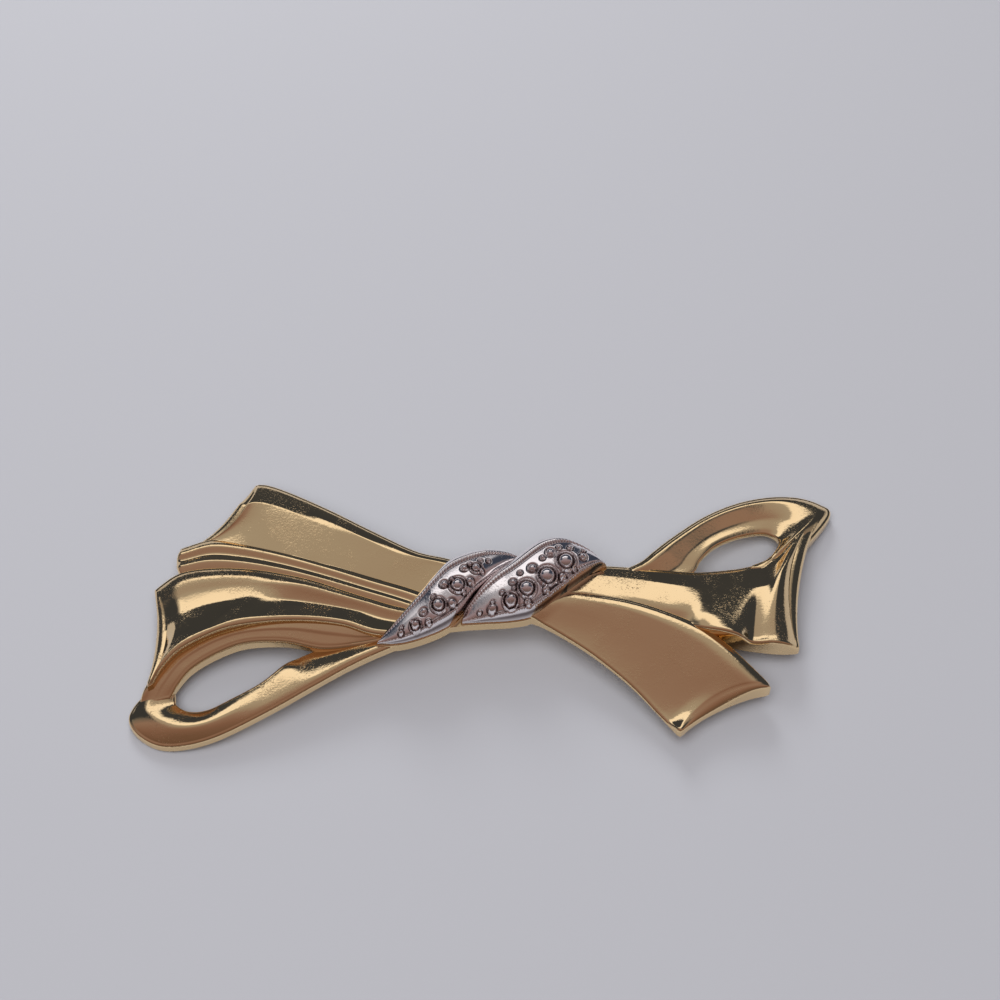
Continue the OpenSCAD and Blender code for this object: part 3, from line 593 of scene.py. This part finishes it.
def polish_haze():
    """Fine haze that a polishing wheel leaves: patchy grain, and where the shine is duller."""
    number = "NodeSocketFloat"
    tree, given, made = group_tree(
        "polish_haze",
        [("Grain", number, 6000.0), ("Shine", number, 0.05), ("Dull", number, 0.12)],
        [("Roughness", number), ("Height", number)])
    link = tree.links.new
    place = wire(tree, "ShaderNodeTexCoord")
    grain = wire(tree, "ShaderNodeTexNoise", in_Detail=2.0, in_Roughness=0.6)
    cloud = wire(tree, "ShaderNodeTexNoise", in_Scale=420.0, in_Detail=3.0)
    speck = wire(tree, "ShaderNodeTexNoise", in_Scale=7000.0, in_Detail=2.0)
    for noise in (grain, cloud, speck):
        link(place.outputs["Object"], noise.inputs["Vector"])
    link(given.outputs["Grain"], grain.inputs["Scale"])
    shine = spread_of(tree, cloud.outputs["Fac"], 0.35, 0.7)
    link(given.outputs["Shine"], shine.inputs["To Min"])
    link(given.outputs["Dull"], shine.inputs["To Max"])
    rub = spread_of(tree, speck.outputs["Fac"], 0.54, 0.66)
    where = spread_of(tree, cloud.outputs["Fac"], 0.45, 0.6, 0.05, 0.4)
    rubbed = worked(tree, "MULTIPLY", rub.outputs["Result"], where.outputs["Result"])
    worn = worked(tree, "ADD", shine.outputs["Result"], rubbed)
    link(worn, made.inputs["Roughness"])
    patch = spread_of(tree, cloud.outputs["Fac"], 0.42, 0.62, 0.25)
    depth = worked(tree, "MULTIPLY", grain.outputs["Fac"], patch.outputs["Result"])
    link(depth, made.inputs["Height"])
    return tree


HAZE = polish_haze()


def metal(name, bright, deep, grain, shine, dull, grain_depth):
    """Polished metal: two tones that drift over the surface, haze and a fine grain.

    Gives the material, and the sockets that its tone comes from and goes to."""
    material = bpy.data.materials.new(name)
    material.use_nodes = True
    tree = material.node_tree
    link = tree.links.new
    shader = tree.nodes["Principled BSDF"]
    shader.inputs["Metallic"].default_value = 1.0
    haze = wire(tree, "ShaderNodeGroup", node_tree=HAZE)
    haze.inputs["Grain"].default_value = grain
    haze.inputs["Shine"].default_value = shine
    haze.inputs["Dull"].default_value = dull
    place = wire(tree, "ShaderNodeTexCoord")
    drift = wire(tree, "ShaderNodeTexNoise", in_Scale=260.0, in_Detail=2.0)
    link(place.outputs["Object"], drift.inputs["Vector"])
    tone = wire(tree, "ShaderNodeMix", data_type="RGBA")
    tone.inputs["A"].default_value = (*bright, 1)
    tone.inputs["B"].default_value = (*deep, 1)
    link(drift.outputs["Fac"], tone.inputs["Factor"])
    bump = wire(tree, "ShaderNodeBump", in_Strength=1.0, in_Distance=grain_depth)
    link(haze.outputs["Height"], bump.inputs["Height"])
    link(haze.outputs["Roughness"], shader.inputs["Roughness"])
    link(bump.outputs["Normal"], shader.inputs["Normal"])
    link(tone.outputs["Result"], shader.inputs["Base Color"])
    return material, tone.outputs["Result"], shader.inputs["Base Color"]


finish_shape(bow, GOLD_CREASE)
gold, _, _ = metal(
    "polished_gold", (0.96, 0.73, 0.42), (0.92, 0.68, 0.38), 5200.0, 0.03, 0.07, 0.000013)
bow.data.materials.clear()
bow.data.materials.append(gold)
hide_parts("gold_bow")
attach(bow, "root")

# The knot's two leaves
# Each is a thin white-metal plate, rhodium bright, pressed over the gold seat and soldered at
# its edges. A wide rim is rolled along the far side and a narrow one along the near side, both
# milled; the sunk panel between them carries rings with a round bead in each and single beads, and
# painted shade darkens the grooves round them and beside the rims.

# Height of the leaf's top over the arch, in mm, at shares across the full width
LEAF_ACROSS = [0, 2, 6, 11, 16, 20, 22, 26, 50, 72, 86, 91, 94, 98, 100]
LEAF_TOP = [1.35, 1.75, 2.2, 2.5, 2.66, 2.62, 2.5, 2.6, 2.78, 2.75, 2.52, 2.34, 2.34, 2.08, 1.62]
# Beads: share along, share across, radius of the outer ring in mm, ring 1 or single bead 0
LEFT_BEADS = [
    [52, 62, 0.72, 1], [36, 72, 0.66, 1], [21, 80, 0.5, 1], [67, 52, 0.5, 1], [64, 73, 0.36, 0],
    [47, 85, 0.4, 0], [28, 89, 0.28, 0], [41, 44, 0.38, 0], [27, 60, 0.36, 0], [57, 38, 0.34, 0],
    [13, 80, 0.26, 0], [73, 68, 0.26, 0], [14, 60, 0.2, 0], [76, 45, 0.22, 0], [34, 50, 0.24, 0],
    [20, 66, 0.2, 0], [47, 47, 0.24, 0], [61, 36, 0.24, 0], [69, 38, 0.24, 0], [59, 84, 0.22, 0]]
RIGHT_BEADS = [
    [49, 69, 0.86, 1], [38, 66, 0.8, 1], [27.5, 75, 0.68, 1], [64, 66, 0.84, 1], [18, 76, 0.42, 0],
    [46, 88, 0.36, 0], [57, 87, 0.36, 0], [36, 89, 0.34, 0], [44, 40, 0.42, 0], [33, 42, 0.34, 0],
    [58, 35, 0.44, 0], [76, 72, 0.36, 0], [26, 50, 0.24, 0], [72, 42, 0.3, 0], [12, 70, 0.22, 0],
    [38, 33, 0.24, 0], [51, 36, 0.26, 0], [65, 34, 0.26, 0], [66, 88, 0.24, 0], [20, 58, 0.2, 0],
    [80, 52, 0.22, 0], [32, 55, 0.2, 0], [28, 60, 0.18, 0]]
# How far a leaf's rolled rim hangs over the gold: shares along, then mm at the far and near rim
LEFT_OVER = [[0, 0, 0.02], [30, 0.02, 0.06], [60, 0.02, 0.1], [100, 0, 0.04]]
RIGHT_OVER = [[0, 0.2, 0.04], [20, 0.36, 0.06], [55, 0.36, 0.04], [75, 0.1, 0.04], [100, 0, 0]]
# The milled beading on both rims, as share across, height and breadth in mm, and the groove
# beside the near one
MILL_PITCH, MILLED = 0.24, ((0.945, 0.11, 0.09), (0.21, 0.12, 0.08))
GROOVE_AT, GROOVE_DEEP, GROOVE_W = 0.9, 0.1, 0.07
# Ridges and grooves round a bead, as place and breadth in shares of its radius and height in mm,
# and the dome in the middle, as radius and height; a ring first, then a single bead
RINGS = {
    1: (((0.93, 0.08, 0.2), (0.78, 0.06, -0.12), (1.1, 0.07, -0.1)), (0.68, 0.46)),
    0: (((1.0, 0.16, -0.12),), (0.8, 0.3))}
RING_SQUASH = (1, 0.94)
POINT_THICK, LEAF_THICK, LEAF_CREASE = 0.12, 0.1, 60
# Blur steps and depth for the painted shade: the leaf's colour darkens where a point lies below its
# blurred surroundings.
SHADE_BLUR_STEPS, SHADE_DEPTH = 20, 0.12


def ridge(d, breadth, height):
    """Rounded ridge, or groove, at distances d from its middle."""
    return height * np.exp(-((d / breadth) ** 2))


def leaf_body(rows, beads, over, along=320, across=120):
    """Leaf as a fine grid of heights, with a share of hollow kept for each point, which the
    material turns into painted shade.
    """
    u, t = np.linspace(0, 1, along), np.linspace(0, 1, across)
    far, near, base, crown = leaf_sections(rows, u)
    width = np.linalg.norm(near - far, axis=1)
    out = through([r[0] for r in over], [r[1:] for r in over], u * 100)
    q = -(out[:, :1] / width[:, None]) + t[None, :] * (1 + out.sum(1) / width)[:, None]
    xy = far[:, None] + (near - far)[:, None] * q[..., None]
    inside = np.clip(q, 0, 1)
    edge = SEAT_EDGE_H + LEAF_GAP
    z = base[:, None] + edge + crown[:, None] * 4 * inside * (1 - inside)
    full = (crown / SEAT_CROWN_H)[:, None]
    profile = through(LEAF_ACROSS, np.array(LEAF_TOP)[:, None], t * 100)[:, 0]
    height = base[:, None] + edge + POINT_THICK + (profile[None, :] - edge - POINT_THICK) * full
    mids = (far + near) / 2
    run = np.concatenate([[0], np.cumsum(np.linalg.norm(np.diff(mids, axis=0), axis=1))])
    mill = 0.5 + 0.5 * np.cos(2 * math.pi * run / MILL_PITCH)[:, None]
    for place, rise, breadth in MILLED:
        height += ridge((t[None, :] - place) * width[:, None], breadth, rise) * mill * full
    height -= ridge((t[None, :] - GROOVE_AT) * width[:, None], GROOVE_W, GROOVE_DEEP) * full
    for share, across_at, radius, ringed in beads:
        f, n, _, _ = leaf_sections(rows, np.array([share / 100]))
        centre = f[0] + (n[0] - f[0]) * across_at / 100
        d = np.linalg.norm((xy - centre) * RING_SQUASH, axis=2) / radius
        ridges, (dome_r, dome_h) = RINGS[ringed]
        for place, breadth, rise in ridges:
            height += ridge(d - place, breadth, rise)
        height += dome_h * np.sqrt(np.clip(1 - (d / dome_r) ** 2, 0, 1))
    # Painted shade: points lower than their blurred surroundings, in the grooves round beads, rings
    # and rims, get a share of dark grey in their colour.
    blur = height.copy()
    for _ in range(SHADE_BLUR_STEPS):
        pad = np.pad(blur, 1, mode="edge")
        blur = (pad[:-2, 1:-1] + pad[2:, 1:-1] + pad[1:-1, :-2] + pad[1:-1, 2:]) / 4
    hollow = np.clip((blur - height) / SHADE_DEPTH, 0, 1)
    body = closed_grid(raised(xy, np.maximum(z + LEAF_THICK, height)), raised(xy, z))
    return body, np.concatenate([hollow.ravel(), np.zeros(along * across)])


white, white_tone, white_colour = metal(
    "white_metal", (1, 0.95, 0.95), (0.96, 0.9, 0.9), 6500.0, 0.07, 0.14, 0.000008)
white_tree = white.node_tree
# Painted shade: the white metal's colour is mixed towards dark grey by each point's hollow share.
shade_mark = wire(white_tree, "ShaderNodeAttribute", attribute_name="hollow")
painted_shade_mix = wire(white_tree, "ShaderNodeMix", data_type="RGBA")
painted_shade_mix.inputs["B"].default_value = (0.24, 0.2, 0.2, 1)
white_tree.links.new(shade_mark.outputs["Fac"], painted_shade_mix.inputs["Factor"])
white_tree.links.new(white_tone, painted_shade_mix.inputs["A"])
white_tree.links.new(painted_shade_mix.outputs["Result"], white_colour)


def leaf_object(name, rows, beads, over, node):
    """One leaf of the knot as a finished piece."""
    body, hollow = leaf_body(rows, beads, over)
    obj = mesh_object(name, *body)
    # The hollow share is stored on the points for the white metal's painted shade.
    shade_share = obj.data.attributes.new("hollow", "FLOAT", "POINT")
    shade_share.data.foreach_set("value", hollow)
    obj.data.shade_smooth()
    obj.data.set_sharp_from_angle(angle=math.radians(LEAF_CREASE))
    obj.data.materials.append(white)
    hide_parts(node)
    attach(obj, "root")


leaf_object("knot_leaf_left_visual", LEFT_LEAF, LEFT_BEADS, LEFT_OVER, "knot_leaf_left")
leaf_object("knot_leaf_right_visual", RIGHT_LEAF, RIGHT_BEADS, RIGHT_OVER, "knot_leaf_right")

# The pin fitting
# A hinge block, a steel stem with a ground point and a catch block, plated to match and soldered
# to the two posts inside the back.
plain, _, _ = metal(
    "plain_gold", (0.86, 0.66, 0.4), (0.8, 0.6, 0.35), 5000.0, 0.18, 0.3, 0.000005)
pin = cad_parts["pin_back"]
pin.data.materials.clear()
pin.data.materials.append(plain)

# The table, the light and the camera
# The brooch lies on a plain pale sheet under two soft lamps. The room that the metal mirrors has
# a pale window band high up beyond it, dark walls at both ends, and a dim warm side nearer the
# camera, which looks down from in front.
SHEET_HALF, SHEET_TONE = 1.5, (0.415, 0.428, 0.462, 1)
sheet_mesh = bpy.data.meshes.new("sheet")
corners = [(x * SHEET_HALF, y * SHEET_HALF, 0) for x, y in ((-1, -1), (1, -1), (1, 1), (-1, 1))]
sheet_mesh.from_pydata(corners, [], [(0, 1, 2, 3)])
sheet = placed("sheet", sheet_mesh)
paper = bpy.data.materials.new("pale_sheet")
paper.use_nodes = True
paper.node_tree.nodes["Principled BSDF"].inputs["Base Color"].default_value = SHEET_TONE
paper.node_tree.nodes["Principled BSDF"].inputs["Roughness"].default_value = 0.7
sheet_mesh.materials.append(paper)
sheet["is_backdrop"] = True

# Degrees up from the far horizon, over the top and down to the near one, then the light there
ROOM = [
    (0, (0.06, 0.065, 0.08)), (18, (0.04, 0.047, 0.066)), (36, (0.045, 0.052, 0.07)),
    (40, (1, 0.98, 1)), (54, (0.97, 0.94, 0.94)), (58, (0.38, 0.37, 0.38)),
    (74, (0.34, 0.31, 0.31)), (90, (0.28, 0.21, 0.21)), (120, (0.22, 0.14, 0.13)),
    (150, (0.14, 0.09, 0.075)), (180, (0.12, 0.1, 0.1))]
END_WALLS = (0.04, 0.047, 0.066, 1)
world = bpy.data.worlds.new("room")
bpy.context.scene.world = world
world.use_nodes = True
room = world.node_tree
way = wire(room, "ShaderNodeTexCoord")
axes = wire(room, "ShaderNodeSeparateXYZ")
room.links.new(way.outputs["Generated"], axes.inputs["Vector"])
x, y, z = (axes.outputs[axis] for axis in "XYZ")
half_turn = wire(room, "ShaderNodeValue")
half_turn.outputs[0].default_value = math.pi
share = worked(room, "DIVIDE", worked(room, "ARCTAN2", z, y), half_turn.outputs[0])
ramp = wire(room, "ShaderNodeValToRGB")
room.links.new(share, ramp.inputs["Fac"])
stops = ramp.color_ramp.elements
for k, (deg, colour) in enumerate(ROOM):
    stop = stops[k] if k < 2 else stops.new(deg / 180)
    stop.position = deg / 180
    stop.color = (*colour, 1)
right = spread_of(room, x, 0.36, 0.5)
left = spread_of(room, x, -0.52, -0.68)
beyond = spread_of(room, y, -0.05, 0.2)
ends = worked(room, "MAXIMUM", right.outputs["Result"], left.outputs["Result"])
walls = wire(room, "ShaderNodeMix", data_type="RGBA")
walls.inputs["B"].default_value = END_WALLS
room.links.new(worked(room, "MULTIPLY", ends, beyond.outputs["Result"]), walls.inputs["Factor"])
room.links.new(ramp.outputs["Color"], walls.inputs["A"])
room.links.new(walls.outputs["Result"], room.nodes["Background"].inputs["Color"])
bpy.context.scene.view_settings.view_transform = "Standard"

# Lamps: name, diameter in metres, watts, and place; each is tipped over to face the brooch
LAMPS = [
    ("overhead", 0.6, 3.2, (-0.08, -0.16, 0.55)),
    ("low_window", 0.12, 0.4, (-0.05, 0.24, 0.15))]
for name, size, watts, spot in LAMPS:
    lamp_data = bpy.data.lights.new(name, "AREA")
    lamp_data.shape = "DISK"
    lamp_data.size = size
    lamp_data.energy = watts
    lamp = placed(name, lamp_data)
    lamp.location = spot
    lamp.rotation_euler = (-math.atan2(spot[1], spot[2]), 0, 0)
    lamp.visible_glossy = False

CAMERA_SPOT, CAMERA_TILT_DEG, LENS = (0.00085, -0.08629, 0.15096), 33, 75.17
camera_data = bpy.data.cameras.new("camera")
camera_data.lens = LENS
camera_data.sensor_width = 36
camera_data.clip_start = 0.01
camera = placed("camera", camera_data)
camera.location = CAMERA_SPOT
camera.rotation_euler = (math.radians(CAMERA_TILT_DEG), 0, 0)
bpy.context.scene.camera = camera

low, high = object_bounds()
